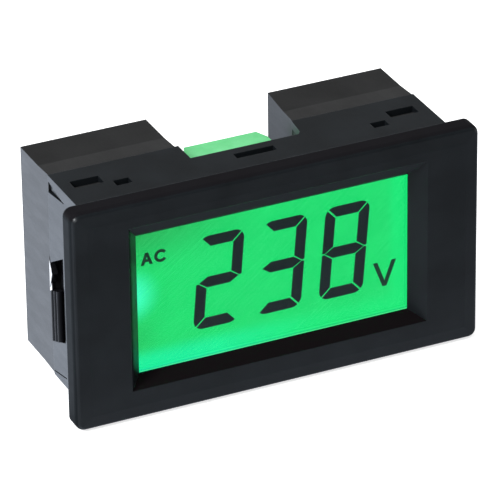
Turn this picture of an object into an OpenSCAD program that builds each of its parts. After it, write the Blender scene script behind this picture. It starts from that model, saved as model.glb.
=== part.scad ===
// Digital panel meter: snap-in LCD voltmeter for a 76 x 40 mm cut-out.
// Frame: X right along the panel, Y into the panel, Z up. The origin is the middle of
// the bezel's back face, which is the face that seats on the panel.

/* [Bezel] */
// Width of the bezel
bezel_w = 79; // [78:0.5:84]
// Height of the bezel
bezel_h = 43; // [42.5:0.5:46]
// Thickness of the bezel in front of the panel
bezel_t = 4.2; // [4:0.1:5]
// Radius of the bezel's front edges and corners
bezel_edge_r = 1.7; // [1:0.1:2.2]
// Width of the sloping border round the bezel's face
border_w = 2.9; // [2.2:0.1:3.2]
// How far the border falls back at the outer edge
border_drop = 0.45; // [0.1:0.05:0.6]

/* [Window] */
// Width of the window at the bezel's face
window_w = 58; // [56:0.5:60]
// Height of the window at the bezel's face
window_h = 32.4; // [31:0.1:33]
// Height of the window's middle above the bezel's middle
window_z = 0.75; // [0:0.05:1]
// Width of display that shows
view_w = 52.9; // [50:0.1:54]
// Height of display that shows
view_h = 27.4; // [26:0.1:27.6]
// Depth from the bezel's face to the display
view_depth = 3.1; // [2.6:0.1:3.3]

/* [Housing] */
// Width of the collar that enters the cut-out
collar_w = 71.65; // [70:0.05:73]
// Height of the collar
collar_h = 40.1; // [39.8:0.05:40.6]
// Depth of the collar behind the panel at the two towers
collar_d = 15.3; // [14.8:0.1:15.6]
// Depth of the collar across the terminal recess
collar_mid_d = 10; // [9.8:0.1:10.2]
// Wall of the collar
collar_wall = 1.5; // [1.2:0.1:1.6]
// Width of the rear case
case_w = 71.3; // [70:0.05:72.8]
// Height of the rear case
case_h = 39.3; // [39:0.05:40]
// Depth of the rear case behind the panel
case_d = 28.1; // [27:0.1:34]
// Wall of the rear case
case_wall = 1.6; // [1.4:0.1:1.8]
// Left side of the terminal recess
recess_left = -11.3; // [-12:0.1:-10.9]
// Right side of the terminal recess at the back
recess_right = 12.8; // [12.5:0.1:13.5]
// How far the right side of the recess leans in by its floor
recess_lean = 1.6; // [1:0.1:1.8]

/* [Display] */
// Height of a digit
digit_h = 17.75; // [14:0.25:18]
// Width of a digit
digit_w = 8.5; // [7:0.1:9]
// Distance from one digit to the next
digit_pitch = 12.3; // [10:0.1:12.5]
// Stroke of a digit's segments
segment_t = 1.7; // [1.2:0.1:2]
// Gap between two segments
segment_gap = 0.3; // [0.2:0.05:0.4]
// Lean of the digits to the right
digit_slant = 4.9; // [0:0.1:8]
// Reading shown
reading = [2, 3, 8];

/* [Spring clips] */
// How far the clip's ribs stand out of the collar
rib_proud = 0.8; // [0.4:0.1:1]

/* [Terminals] */
// Distance between the two terminals
terminal_pitch = 7.62; // [7.5:0.01:7.62]
// Width of the terminal housing
terminal_w = 16.5; // [16.4:0.1:17]
// Back face of the terminal housing, behind the panel
terminal_back = 23.3; // [23:0.1:24]
// Top face of the terminal housing above the bezel's middle
terminal_top = 15; // [14:0.5:16]

/* [Hidden] */
$fn = 48;
eps = 0.01;

// Layers of the display, front to back
glass_y = -bezel_t + view_depth;
polariser_t = 0.2;
glass_t = 0.7;
cell_t = 0.1;
front_glass_y = glass_y + polariser_t;
cell_y = front_glass_y + glass_t;
rear_glass_y = cell_y + cell_t;
rear_polariser_y = rear_glass_y + glass_t;
diffuser_y = rear_polariser_y + polariser_t;
diffuser_t = 0.3;
guide_y = diffuser_y + diffuser_t;
guide_t = 2.5;
reflector_y = guide_y + guide_t;
reflector_t = 0.2;
view_z = -0.1;
glass_w = 58;
glass_h = 34;
rear_glass_h = 28.4;
holder_y = [0, 4.4];

// Board and what it carries
board_y = 6;
board_t = 1.6;
board_back = board_y + board_t;
board_w = 64.8;
board_h = 33.8;
boss_x = 31.2;
boss_z = 15.2;
boss_r = 1.6;
screw_r = 0.9;
screw_head_r = 1.65;

// Rear case and the tongue that enters the collar
collar_gap = 0.15;
tongue_w = collar_w - 2*collar_wall - 2*collar_gap;
tongue_h = collar_h - 2*collar_wall - 2*collar_gap;
tongue_wall = 1.2;
tongue_y = 2;
seam_y = collar_d + 0.1;
floor_y = 8.4;
recess_wall = 1.5;
recess_slope = recess_lean / (case_d - collar_mid_d);
ramp_end = 20;
ramp_rise = 0.3;

// Collar notch over the terminal recess
notch_left = -10.7;
notch_right = 11.6;

// Side clips: their openings are upright at the ends and slant up to the front
clip_y = [9.9, 15.1];
clip_window_y = [9.4, 15.5];
clip_gap = 0.25;
clip_top_slope = 0.59;
clip_low_slope = 0.42;
clip_rib_count = 3;
clip_rib_pitch = 1.65;
clip_rib_r = 0.7;
clip_plate = 0.8;
clip_axis_x = 33.6;
clip_axis_y = 14.5;
clip_bead_r = 0.5;
clip_pin_r = 0.35;
clip_pin_gap = 0.08;
pocket_in = 31.4;
pocket_wall = 0.9;
tooth_y = 16.3;

// Terminals
terminal_x = 1;
terminal_depth = 10;
terminal_z = terminal_top - terminal_depth/2;
terminal_xs = [terminal_x - terminal_pitch/2, terminal_x + terminal_pitch/2];
bar_y = 13.2;
bar_t = 0.8;
leg_z = terminal_top - 1.4;
cage_wall = 0.8;
wire_gap = 3;
cage_front = bar_y - wire_gap - cage_wall;
cage_nut = 1.4;
cage_nut_y = bar_y + bar_t + 0.2;
cage_w = 5.8;
cage_z = 6;
clamp_screw_r = 1.4;
clamp_head_r = 1.9;
clamp_head_y = 20.2;
clamp_head_t = 2;

// ---- Helpers ----

// Box given by its spans along X, Y and Z
module span(x, y, z) {
    translate([x[0], y[0], z[0]])
        cube([x[1] - x[0], y[1] - y[0], z[1] - z[0]]);
}

// Box as wide as w about x = xc and as high as h about z = zc, from y0 to y1
module slab(w, h, y0, y1, xc = 0, zc = 0) {
    span([xc - w/2, xc + w/2], [y0, y1], [zc - h/2, zc + h/2]);
}

// Round bar along Y
module rod_y(r, y0, y1, x = 0, z = 0) {
    translate([x, y0, z]) rotate([-90, 0, 0]) cylinder(r = r, h = y1 - y0);
}

// Round bar along Z
module rod_z(r, z0, z1, x = 0, y = 0) {
    translate([x, y, z0]) cylinder(r = r, h = z1 - z0);
}

// Round bar along X
module rod_x(r, x0, x1, y = 0, z = 0) {
    translate([x0, y, z]) rotate([0, 90, 0]) cylinder(r = r, h = x1 - x0);
}

// Flat shape drawn as seen from the front, [x, z], from y0 to y1
module front_plate(y0, y1) {
    translate([0, y1, 0]) rotate([90, 0, 0]) linear_extrude(y1 - y0) children();
}

// Flat shape drawn as seen from the side, [y, z], from x0 to x1
module side_plate(x0, x1) {
    translate([x0, 0, 0]) rotate([90, 0, 90]) linear_extrude(x1 - x0) children();
}

// Flat shape drawn as seen from above, [x, y], from z0 to z1
module top_plate(z0, z1) {
    translate([0, 0, z0]) linear_extrude(z1 - z0) children();
}

// The children and their mirror image above and below the middle
module both_z() {
    children();
    mirror([0, 0, 1]) children();
}

// The children and their mirror image left and right of the middle
module both_x() {
    children();
    mirror([1, 0, 0]) children();
}

// ---- Front frame ----

// Half section of a rounded corner post, as [distance from its axis, y]
module corner_section(r, t) {
    intersection() {
        union() {
            translate([0, r - t]) circle(r = r);
            translate([0, r - t]) square([r, t - r]);
        }
        translate([0, -t - 1]) square([r + 1, t + 1]);
    }
}

// Block with rounded front edges and corners
module rounded_block(w, h, t, r) {
    x = w/2 - r;
    z = h/2 - r;
    for (sx = [-1, 1], sz = [-1, 1])
        translate([sx*x, 0, sz*z]) rotate([-90, 0, 0]) rotate_extrude() corner_section(r, t);
    for (sz = [-1, 1])
        rod_x(r, -x, x, r - t, sz*z);
    for (sx = [-1, 1])
        rod_z(r, -z, z, sx*x, r - t);
    slab(2*x, 2*z, -t, 0);
    slab(w, 2*z, r - t, 0);
    slab(2*x, h, r - t, 0);
}

// Wedge in front of the sloping border along one edge, as [distance from the middle, y]
module border_wedge(size) {
    s = size/2;
    slope = border_drop/border_w;
    polygon([[s - border_w - 2, -bezel_t - 2*slope], [s + 1, -bezel_t + (border_w + 1)*slope],
             [s + 1, -bezel_t - 2], [s - border_w - 2, -bezel_t - 2]]);
}

module bezel_block() {
    difference() {
        rounded_block(bezel_w, bezel_h, bezel_t, bezel_edge_r);
        both_x() top_plate(-bezel_h, bezel_h) border_wedge(bezel_w);
        both_z() side_plate(-bezel_w, bezel_w) mirror([1, -1]) border_wedge(bezel_h);
    }
}

// Bevelled window that narrows from the bezel's face to the display
module window_cut() {
    lip = 0.25;
    y0 = -bezel_t;
    y1 = glass_y - lip;
    run = (y1 - y0);
    out = 0.5/run;
    wx = (window_w - view_w)/2*out;
    wt = (window_z + window_h/2 - view_z - view_h/2)*out;
    wb = (view_z - view_h/2 - window_z + window_h/2)*out;
    intersection() {
        top_plate(-bezel_h, bezel_h)
            polygon([[-window_w/2 - wx, y0 - 0.5], [window_w/2 + wx, y0 - 0.5],
                     [view_w/2, y1], [-view_w/2, y1]]);
        side_plate(-bezel_w, bezel_w)
            polygon([[y0 - 0.5, window_z - window_h/2 - wb], [y0 - 0.5, window_z + window_h/2 + wt],
                     [y1, view_z + view_h/2], [y1, view_z - view_h/2]]);
    }
    slab(view_w, view_h, y1 - eps, glass_y + eps, 0, view_z);
}

// Snap windows through the collar's top wall
module snap_windows() {
    z = [collar_h/2 - collar_wall - 0.5, collar_h/2 + 1];
    both_x() {
        span([28, 33.5], [8.3, 11.05], z);
        span([23.5, 26.5], [6.1, 8.1], z);
    }
    span([-3.4, 4.4], [6.2, 8.0], z);
}

// Slots that free the collar's side wall near its corners
module side_slots() {
    depth = 0.8;
    side_plate(-collar_w/2 - 1, -collar_w/2 + depth)
        polygon([[8.2, 17.55], [15.6, 16.65], [15.6, 16.95], [8.2, 17.75]]);
    side_plate(-collar_w/2 - 1, -collar_w/2 + depth)
        polygon([[9.4, -18.2], [15.6, -19.45], [15.6, -19.2], [9.4, -17.95]]);
    intersection() {
        side_plate(-collar_w/2 - 1, -collar_w/2 + depth)
            polygon([[8.2, 17.6], [15.6, 16.7], [15.6, 19.0]]);
        top_plate(0, bezel_h)
            polygon([[-collar_w/2 - 1, 7], [-collar_w/2, 7], [-collar_w/2 + 0.55, 15.6],
                     [-collar_w/2 - 1, 15.6]]);
    }
}

// Height of a clip opening's upper and lower edge at depth y
function clip_high(y) = 2.5 + (clip_window_y[1] - y)*clip_top_slope;
function clip_low(y) = -13.4 + (clip_window_y[1] - y)*clip_low_slope;

clip_pin_z = [clip_low(clip_axis_y) - 0.7, clip_high(clip_axis_y) + 0.7];

// Outline of a clip opening from y[0] to y[1], seen from the side, grown by g up and down
module clip_outline(y, g) {
    polygon([[y[0], clip_low(y[0]) - g], [y[1], clip_low(y[1]) - g],
             [y[1], clip_high(y[1]) + g], [y[0], clip_high(y[0]) + g]]);
}

module front_frame() {
    color([0.14, 0.15, 0.16])
    difference() {
        union() {
            bezel_block();
            difference() {
                slab(collar_w, collar_h, -eps, collar_d);
                slab(collar_w - 2*collar_wall, collar_h - 2*collar_wall, 0, collar_d + 1);
                // notch over the terminal recess, top and bottom
                top_plate(-collar_h, collar_h)
                    polygon([[notch_left, collar_mid_d], [10.4, collar_mid_d],
                             [notch_right - 0.6, collar_mid_d + 0.9], [notch_right, collar_d + 1],
                             [notch_left, collar_d + 1]]);
                both_z() snap_windows();
                both_x() side_slots();
                both_x() side_plate(-collar_w/2 - 1, -collar_w/2 + collar_wall + 0.5)
                    clip_outline(clip_window_y, 0);
            }
            // bosses for the board screws
            for (sx = [-1, 1], sz = [-1, 1])
                rod_y(boss_r, -1, board_y, sx*boss_x, sz*boss_z);
        }
        window_cut();
        slab(glass_w + 0.4, glass_h + 0.4, glass_y, 0.5, 0, view_z);
        for (sx = [-1, 1], sz = [-1, 1])
            rod_y(screw_r, 0.6, board_y + 1, sx*boss_x, sz*boss_z);
    }
}

// ---- Rear case ----

// X of the recess's right side at depth y
function recess_x(y) = recess_right - (case_d - y)*recess_slope;

// Outline from above of one tower's room, grown by g past the recess wall
module left_tower(g, y0, y1) {
    polygon([[-bezel_w, y0], [recess_left - g, y0], [recess_left - g, y1], [-bezel_w, y1]]);
}

module right_tower(g, y0, y1) {
    polygon([[bezel_w, y0], [recess_x(y0) + g, y0], [recess_x(y1) + g, y1], [bezel_w, y1]]);
}

// Outer block of the rear case, with the shallow ramp behind the collar
module case_outside() {
    h = case_h/2;
    difference() {
        union() {
            slab(tongue_w, tongue_h, tongue_y, seam_y + 1);
            side_plate(-case_w/2, case_w/2)
                polygon([[seam_y, -h - ramp_rise], [ramp_end, -h], [case_d, -h],
                         [case_d, h], [ramp_end, h], [seam_y, h + ramp_rise]]);
        }
        // the terminal recess runs from top to bottom and is open at the back
        top_plate(-bezel_h, bezel_h)
            polygon([[recess_left, collar_mid_d], [recess_x(collar_mid_d), collar_mid_d],
                     [recess_x(case_d + 1), case_d + 1], [recess_left, case_d + 1]]);
    }
}

// Room inside the rear case
module case_inside() {
    ti = tongue_wall;
    slab(tongue_w - 2*ti, tongue_h - 2*ti, tongue_y - 1, floor_y);
    intersection() {
        union() {
            slab(tongue_w - 2*ti, tongue_h - 2*ti, floor_y - eps, seam_y + case_wall);
            slab(case_w - 2*case_wall, case_h - 2*case_wall, seam_y + case_wall - eps,
                 case_d - case_wall);
        }
        union() {
            top_plate(-bezel_h, bezel_h) left_tower(recess_wall, floor_y - 2*eps, case_d);
            top_plate(-bezel_h, bezel_h) right_tower(recess_wall, floor_y - 2*eps, case_d);
        }
    }
}

// Closed pocket behind the left clip, and the room in it
module clip_pocket_walls() {
    side_plate(-tongue_w/2, -pocket_in)
        clip_outline([clip_window_y[0] - 0.6, clip_window_y[1] + pocket_wall], 0.1 + pocket_wall);
}

module clip_pocket_room() {
    side_plate(-tongue_w/2 - 1, -pocket_in - pocket_wall) clip_outline(clip_window_y, 0.1);
}

// Snap noses that sit in the collar's top windows
module snap_noses() {
    both_x() side_plate(28.3, 33.2)
        polygon([[8.5, tongue_h/2 - 0.2], [8.5, tongue_h/2 + 1.1], [9.7, tongue_h/2 + 1.1],
                 [10.7, tongue_h/2 - 0.2]]);
    both_x() side_plate(23.8, 26.2)
        polygon([[6.3, tongue_h/2 - 0.2], [6.3, tongue_h/2 + 0.5], [7.1, tongue_h/2 + 0.5],
                 [7.7, tongue_h/2 - 0.2]]);
}

// Three-cornered tooth at the back of the left clip's opening, rising outward to its tip
module clip_tooth() {
    intersection() {
        side_plate(-bezel_w/2, -tongue_w/2 - collar_gap - 0.6)
            polygon([[tooth_y, 3.5], [13.9, 0.9], [tooth_y, -3.0]]);
        top_plate(-5, 5)
            polygon([[-case_w/2, tooth_y], [-case_w/2 - 0.55, 13.8], [-tongue_w/2, 13.8],
                     [-tongue_w/2, tooth_y]]);
    }
}

module rear_case() {
    color([0.24, 0.24, 0.245])
    difference() {
        union() {
            difference() {
                case_outside();
                case_inside();
            }
            both_x() clip_pocket_walls();
            both_z() snap_noses();
        }
        both_x() clip_pocket_room();
        // sockets for the clips' pins
        both_x() rod_z(clip_pin_r + clip_pin_gap, clip_pin_z[0] - 0.1, clip_pin_z[1] + 0.1,
                       -clip_axis_x, clip_axis_y);
        // opening for the terminal housing
        slab(terminal_w + 0.4, terminal_depth + 0.4, floor_y - 1, collar_mid_d + 1,
             terminal_x, terminal_z);
        // relief beside the collar's notch
        both_z() span([10.9, 11.75], [10.5, collar_d], [16.2, bezel_h]);
    }
    color([0.24, 0.24, 0.245]) both_x() clip_tooth();
}

// ---- Side clips ----

// Left clip: ribbed lever on two pins, pressed in against its own spring
module left_clip() {
    z = [clip_low(clip_axis_y) - 1, clip_high(clip_y[0]) + 1];
    x_out = -clip_axis_x - clip_plate + 0.2;
    rib_x = -collar_w/2 - rib_proud + clip_rib_r;
    color([0.10, 0.10, 0.12]) {
        intersection() {
            side_plate(-bezel_w/2, -pocket_in) clip_outline(clip_y, -clip_gap);
            union() {
                top_plate(z[0], z[1])
                    polygon([[x_out, clip_axis_y], [x_out, clip_y[0]],
                             [x_out + clip_plate, clip_y[0]], [x_out + clip_plate, clip_axis_y]]);
                rod_z(clip_bead_r, z[0], z[1], -clip_axis_x, clip_axis_y);
                // grip ribs on the lower half
                intersection() {
                    side_plate(-bezel_w/2, x_out + 0.1)
                        polygon([[16, -3.2], [16, -15], [8, -15], [8, 0.2]]);
                    union() {
                        top_plate(z[0], z[1])
                            polygon([[x_out + 0.1, clip_axis_y], [x_out + 0.1, clip_y[0] + 0.3],
                                     [rib_x, clip_y[0] + 0.5], [rib_x + 0.3, clip_axis_y]]);
                        for (i = [0:clip_rib_count - 1])
                            rod_z(clip_rib_r, z[0], z[1], rib_x + 0.15*i,
                                  clip_y[0] + 0.35 + clip_rib_r + clip_rib_pitch*i);
                    }
                }
            }
        }
        rod_z(clip_pin_r, clip_pin_z[0], clip_pin_z[0] + 1.5, -clip_axis_x, clip_axis_y);
        rod_z(clip_pin_r, clip_pin_z[1] - 1.5, clip_pin_z[1], -clip_axis_x, clip_axis_y);
    }
}

module right_clip() mirror([1, 0, 0]) left_clip();

// ---- Display ----

// Outline of one segment of a digit, 0 to 6 in the order a to g, upright
module segment(i) {
    w = digit_w;
    h = digit_h;
    t = segment_t;
    g = segment_gap*0.7;
    m = h/2;
    shapes = [
        [[g, h], [w - g, h], [w - t - g, h - t], [t + g, h - t]],
        [[w, h - g], [w, m + g/2], [w - t/2 + g/2, m + g/2], [w - t, m + t/2 + g], [w - t, h - t - g]],
        [[w, g], [w, m - g/2], [w - t/2 + g/2, m - g/2], [w - t, m - t/2 - g], [w - t, t + g]],
        [[g, 0], [w - g, 0], [w - t - g, t], [t + g, t]],
        [[0, g], [0, m - g/2], [t/2 - g/2, m - g/2], [t, m - t/2 - g], [t, t + g]],
        [[0, h - g], [0, m + g/2], [t/2 - g/2, m + g/2], [t, m + t/2 + g], [t, h - t - g]],
        [[t/2 + g/2, m], [t + g/2, m + t/2], [w - t - g/2, m + t/2], [w - t/2 - g/2, m],
         [w - t - g/2, m - t/2], [t + g/2, m - t/2]]
    ];
    polygon(shapes[i]);
}

// Rounded outline that clips a digit's outer corners
module digit_outline(r) {
    for (x = [r, digit_w - r], z = [r, digit_h - r])
        translate([x, z]) circle(r = r);
    translate([r, 0]) square([digit_w - 2*r, digit_h]);
    translate([0, r]) square([digit_w, digit_h - 2*r]);
}

// Segments that are on for each figure from 0 to 9
lit = [[0, 1, 2, 3, 4, 5], [1, 2], [0, 1, 6, 4, 3], [0, 1, 6, 2, 3], [5, 6, 1, 2],
       [0, 5, 6, 2, 3], [0, 5, 6, 4, 3, 2], [0, 1, 2], [0, 1, 2, 3, 4, 5, 6],
       [0, 1, 2, 3, 5, 6]];

// One digit that leans by the slant, its lower left corner at the 2D origin
module digit(value) {
    multmatrix([[1, tan(digit_slant), 0, 0], [0, 1, 0, 0], [0, 0, 1, 0], [0, 0, 0, 1]])
        for (i = lit[value])
            intersection() {
                segment(i);
                digit_outline(1.1);
            }
}

digits_right = 19.4;
digits_z = -8.3;
module digit_segments() {
    color([0.13, 0.17, 0.17])
    front_plate(cell_y, cell_y + cell_t)
        for (i = [0:2])
            translate([digits_right - digit_h*tan(digit_slant) - digit_w - (2 - i)*digit_pitch,
                       digits_z])
                digit(reading[i]);
}

module letter_v(w, h, t) {
    polygon([[0, h], [t*1.1, h], [w/2, t*1.4], [w - t*1.1, h], [w, h], [w/2 + t*0.5, 0],
             [w/2 - t*0.5, 0]]);
}

module letter_a(w, h, t) {
    mirror([0, 1]) translate([0, -h]) letter_v(w, h, t);
    translate([w*0.22, h*0.24]) square([w*0.56, t*0.9]);
}

module letter_c(h, t) {
    translate([h/2, h/2])
        difference() {
            circle(r = h/2);
            circle(r = h/2 - t);
            polygon([[0, 0], [h, h*0.72], [h, -h*0.72]]);
        }
}

module unit_marks() {
    color([0.05, 0.35, 0.20])
    front_plate(cell_y, cell_y + cell_t) {
        translate([-24.8, 6.8]) letter_a(2.1, 2.4, 0.42);
        translate([-22.5, 6.75]) letter_c(2.5, 0.42);
        translate([20.1, -8.6]) letter_v(4.6, 5, 0.75);
    }
}

module front_polariser() {
    color([0.6, 0.7, 0.65, 0.3]) slab(56.4, 31.4, glass_y, glass_y + polariser_t, 0, view_z);
}

module front_glass() {
    color([0.8, 0.9, 0.85, 0.3]) slab(glass_w, glass_h, front_glass_y, cell_y, 0, view_z);
}

module cell_seal() {
    color([0.75, 0.95, 0.8])
    difference() {
        slab(glass_w - 2, rear_glass_h - 0.1, cell_y, rear_glass_y, 0, view_z);
        slab(glass_w - 3.4, rear_glass_h - 1, cell_y - 1, rear_glass_y + 1, 0, view_z);
    }
}

module rear_glass() {
    color([0.8, 0.9, 0.85, 0.3])
        slab(glass_w - 1, rear_glass_h, rear_glass_y, rear_polariser_y, 0, view_z);
}

module rear_polariser() {
    color([0.6, 0.7, 0.65, 0.3])
        slab(glass_w - 2, rear_glass_h - 0.4, rear_polariser_y, diffuser_y, 0, view_z);
}

module diffuser_sheet() {
    color([0.24, 0.89, 0.50]) slab(54.6, 28, diffuser_y, guide_y, 0, view_z);
}

module light_guide() {
    color([0.75, 0.95, 0.85]) slab(54, 28, guide_y, reflector_y, 0, view_z);
}

module reflector_sheet() {
    color([0.95, 0.95, 0.95])
        slab(54.6, 28, reflector_y, reflector_y + reflector_t, 0, view_z);
}

led_z = [0.2, 4.2];
module backlight_led() {
    color([0.95, 0.95, 0.8])
    difference() {
        span([-28.7, -27.1], [guide_y + 0.2, guide_y + 2.2], led_z);
        span([-27.5, -27], [guide_y + 0.6, guide_y + 1.8], [led_z[0] + 0.5, led_z[1] - 0.5]);
    }
}

module led_board() {
    color([0.85, 0.85, 0.8]) span([-29.3, -28.7], [guide_y, board_y], [-5, 9]);
}

module display_holder() {
    color([0.93, 0.93, 0.9])
    difference() {
        union() {
            slab(59.2, 29.8, holder_y[0], holder_y[1], 0, view_z);
            for (sx = [-1, 1])
                slab(2, 4, holder_y[1] - 1, board_y, sx*28.4, -11);
        }
        slab(glass_w - 0.6, rear_glass_h + 0.3, cell_y, rear_polariser_y, 0, view_z);
        slab(glass_w - 1.6, rear_glass_h - 0.1, rear_polariser_y - eps, diffuser_y + eps, 0, view_z);
        slab(54.8, 28.2, diffuser_y, reflector_y + reflector_t, 0, view_z);
        slab(50, 24, reflector_y, board_y, 0, view_z);
        span([-29.4, -27], [guide_y - 0.1, board_y + 1], [-5.2, 9.2]);
    }
}

module contact_strip(z) {
    color([0.85, 0.55, 0.65]) slab(50, 1.6, cell_y, board_y, 0, z);
}

module upper_contact_strip() contact_strip(view_z + 16);
module lower_contact_strip() contact_strip(view_z - 16);

// ---- Board ----

module main_board() {
    color([0.05, 0.35, 0.18])
    difference() {
        slab(board_w, board_h, board_y, board_back);
        for (sx = [-1, 1], sz = [-1, 1])
            rod_y(screw_r + 0.2, board_y - 1, board_back + 1, sx*boss_x, sz*boss_z);
        for (x = terminal_xs)
            slab(1.4, 1.2, board_y - 1, board_back + 1, x, leg_z);
    }
}

module board_screws() {
    color([0.75, 0.75, 0.75])
    for (sx = [-1, 1], sz = [-1, 1])
        difference() {
            union() {
                rod_y(screw_r - 0.02, 1.6, board_back + eps, sx*boss_x, sz*boss_z);
                rod_y(screw_head_r, board_back, board_back + 1, sx*boss_x, sz*boss_z);
            }
            slab(2.2, 0.5, board_back + 0.5, board_back + 2, sx*boss_x, sz*boss_z);
            slab(0.5, 2.2, board_back + 0.5, board_back + 2, sx*boss_x, sz*boss_z);
        }
}

// Body with a row of flat leads along both long sides, on the back of the board
module converter_chip() {
    color([0.08, 0.08, 0.09]) slab(7.6, 12.8, board_back + 0.15, board_back + 2.4, 18.6, -2);
    color([0.8, 0.8, 0.8])
    for (i = [0:8], s = [-1, 1])
        slab(1.6, 0.5, board_back, board_back + 0.35, 18.6 + s*4.3, -7.6 + 1.4*i);
}

trimmer_at = [24.5, 11.5];
module trimmer_body() {
    color([0.10, 0.25, 0.70])
    difference() {
        slab(7, 7, board_back, board_back + 4.6, trimmer_at[0], trimmer_at[1]);
        rod_y(2.6, board_back + 3.2, board_back + 5, trimmer_at[0], trimmer_at[1]);
        rod_y(0.9, board_back + 1.6, board_back + 4, trimmer_at[0], trimmer_at[1]);
    }
}

module trimmer_rotor() {
    color([0.92, 0.92, 0.88])
    difference() {
        union() {
            rod_y(2.5, board_back + 3.3, board_back + 5, trimmer_at[0], trimmer_at[1]);
            rod_y(0.8, board_back + 1.8, board_back + 3.4, trimmer_at[0], trimmer_at[1]);
        }
        slab(4.2, 0.6, board_back + 4.1, board_back + 6, trimmer_at[0], trimmer_at[1]);
        slab(0.6, 2.4, board_back + 4.1, board_back + 6, trimmer_at[0], trimmer_at[1]);
    }
}

module film_capacitor() {
    color([0.85, 0.75, 0.15]) slab(7, 17.5, board_back, board_back + 13.5, -18, 4);
}

module electrolytic_capacitor() {
    color([0.15, 0.20, 0.35])
    difference() {
        union() {
            rod_y(4, board_back + 0.3, board_back + 12, -26.6, 11);
            rod_y(3.4, board_back, board_back + 0.4, -26.6, 11);
        }
        slab(5, 0.5, board_back + 11.7, board_back + 13, -26.6, 11);
        slab(0.5, 5, board_back + 11.7, board_back + 13, -26.6, 11);
    }
}

module bridge_rectifier() {
    color([0.10, 0.10, 0.11])
    difference() {
        slab(6.4, 8.4, board_back, board_back + 3.4, -27, -0.5);
        slab(1, 1, board_back + 3, board_back + 4, -29.8, 3.3);
    }
}

// Axial resistor lying along X, with bent leads down to the board
module resistor(r, length, x, z, lift) {
    reach = length/2 + 1.2;
    y = board_back + lift;
    rod_x(r, x - length/2, x + length/2, y, z);
    rod_x(0.3, x - reach, x + reach, y, z);
    for (s = [-1, 1])
        rod_y(0.3, board_back, y, x + s*(reach - 0.3), z);
}

module dropper_resistor() {
    color([0.45, 0.60, 0.75]) resistor(1.9, 9.5, -21, -13.6, 2.1);
}

module divider_resistors() {
    color([0.45, 0.60, 0.75])
    for (i = [0:2])
        resistor(1.1, 6.2, 19.5, -10 - 2.4*i, 1.3);
}

// Three-lead package with a flat front
module regulator() {
    at = [-25, -8];
    color([0.10, 0.10, 0.11])
    intersection() {
        rod_y(2.3, board_back + 2, board_back + 6.5, at[0], at[1]);
        slab(5, 3.6, board_back, board_back + 7, at[0], at[1] + 0.5);
    }
    color([0.8, 0.8, 0.8])
    for (i = [-1:1])
        slab(0.45, 0.45, board_back, board_back + 2.1, at[0] + 1.27*i, at[1]);
}

module integrator_capacitors() {
    color([0.75, 0.15, 0.12])
    for (i = [0:2])
        slab(6.5, 2.5, board_back, board_back + 6.5, 28, 4.6 - 3.2*i);
}

// ---- Terminals ----

module terminal_housing() {
    y1 = terminal_back;
    z0 = terminal_top - terminal_depth;
    cut = [1.1, 2.65];
    xl = terminal_x - terminal_w/2;
    xr = terminal_x + terminal_w/2;
    color([0.45, 0.90, 0.60])
    difference() {
        top_plate(z0, terminal_top)
            polygon([[xl, board_back], [xr, board_back], [xr, y1 - cut[1]], [xr - cut[0], y1],
                     [xl + cut[0], y1], [xl, y1 - cut[1]]]);
        for (x = terminal_xs) {
            // room for the cage
            span([x - 3.05, x + 3.05], [cage_front - 0.2, 19.2], [z0 + 1.4, terminal_top - 1.0]);
            // way in for the wire
            span([x - 2.1, x + 2.1], [cage_front + cage_wall - 0.2, bar_y - 0.2], [z0 - 1, z0 + 2]);
            // screw head, shank and contact leg
            rod_y(clamp_head_r + 0.2, clamp_head_y, y1 + 1, x, terminal_z);
            rod_y(clamp_screw_r + 0.15, 19, clamp_head_y + 1, x, terminal_z);
            slab(1.2, 0.9, board_back - 1, cage_front, x, leg_z);
        }
    }
}

// Fixed bar that the screw presses on, with its leg down to the board
module contact(x) {
    color([0.80, 0.70, 0.40]) {
        span([x - 1.9, x + 1.9], [bar_y, bar_y + bar_t], [terminal_z - 3.2, 13.9]);
        slab(1, 0.7, board_y - 0.9, bar_y + 0.1, x, leg_z);
    }
}

// Wire cage: a square loop open along Z, with the screw's thread in its back wall
module cage(x) {
    color([0.80, 0.80, 0.82])
    difference() {
        span([x - cage_w/2, x + cage_w/2], [cage_front, cage_nut_y + cage_nut],
             [terminal_z - cage_z/2, terminal_z + cage_z/2]);
        span([x - cage_w/2 + cage_wall, x + cage_w/2 - cage_wall],
             [cage_front + cage_wall, cage_nut_y],
             [terminal_z - cage_z, terminal_z + cage_z]);
        rod_y(clamp_screw_r + 0.08, cage_nut_y - 1, cage_nut_y + 3, x, terminal_z);
    }
}

// Clamp screw with a slotted head
module clamp_screw(x) {
    color([0.82, 0.82, 0.84])
    difference() {
        union() {
            rod_y(clamp_screw_r, bar_y + bar_t + 0.02, clamp_head_y + 0.5, x, terminal_z);
            rod_y(clamp_head_r, clamp_head_y + 0.02, clamp_head_y + clamp_head_t, x, terminal_z);
        }
        slab(2*clamp_head_r + 1, 0.7, clamp_head_y + 1.1, clamp_head_y + 3, x, terminal_z);
    }
}

module left_contact() contact(terminal_xs[0]);
module right_contact() contact(terminal_xs[1]);
module left_cage() cage(terminal_xs[0]);
module right_cage() cage(terminal_xs[1]);
module left_clamp_screw() clamp_screw(terminal_xs[0]);
module right_clamp_screw() clamp_screw(terminal_xs[1]);

front_frame();
rear_case();
left_clip();
right_clip();
front_polariser();
front_glass();
cell_seal();
digit_segments();
unit_marks();
rear_glass();
rear_polariser();
diffuser_sheet();
light_guide();
reflector_sheet();
backlight_led();
led_board();
display_holder();
upper_contact_strip();
lower_contact_strip();
main_board();
board_screws();
converter_chip();
trimmer_body();
trimmer_rotor();
film_capacitor();
electrolytic_capacitor();
bridge_rectifier();
dropper_resistor();
divider_resistors();
regulator();
integrator_capacitors();
terminal_housing();
left_contact();
right_contact();
left_cage();
right_cage();
left_clamp_screw();
right_clamp_screw();
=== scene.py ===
import math

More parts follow.
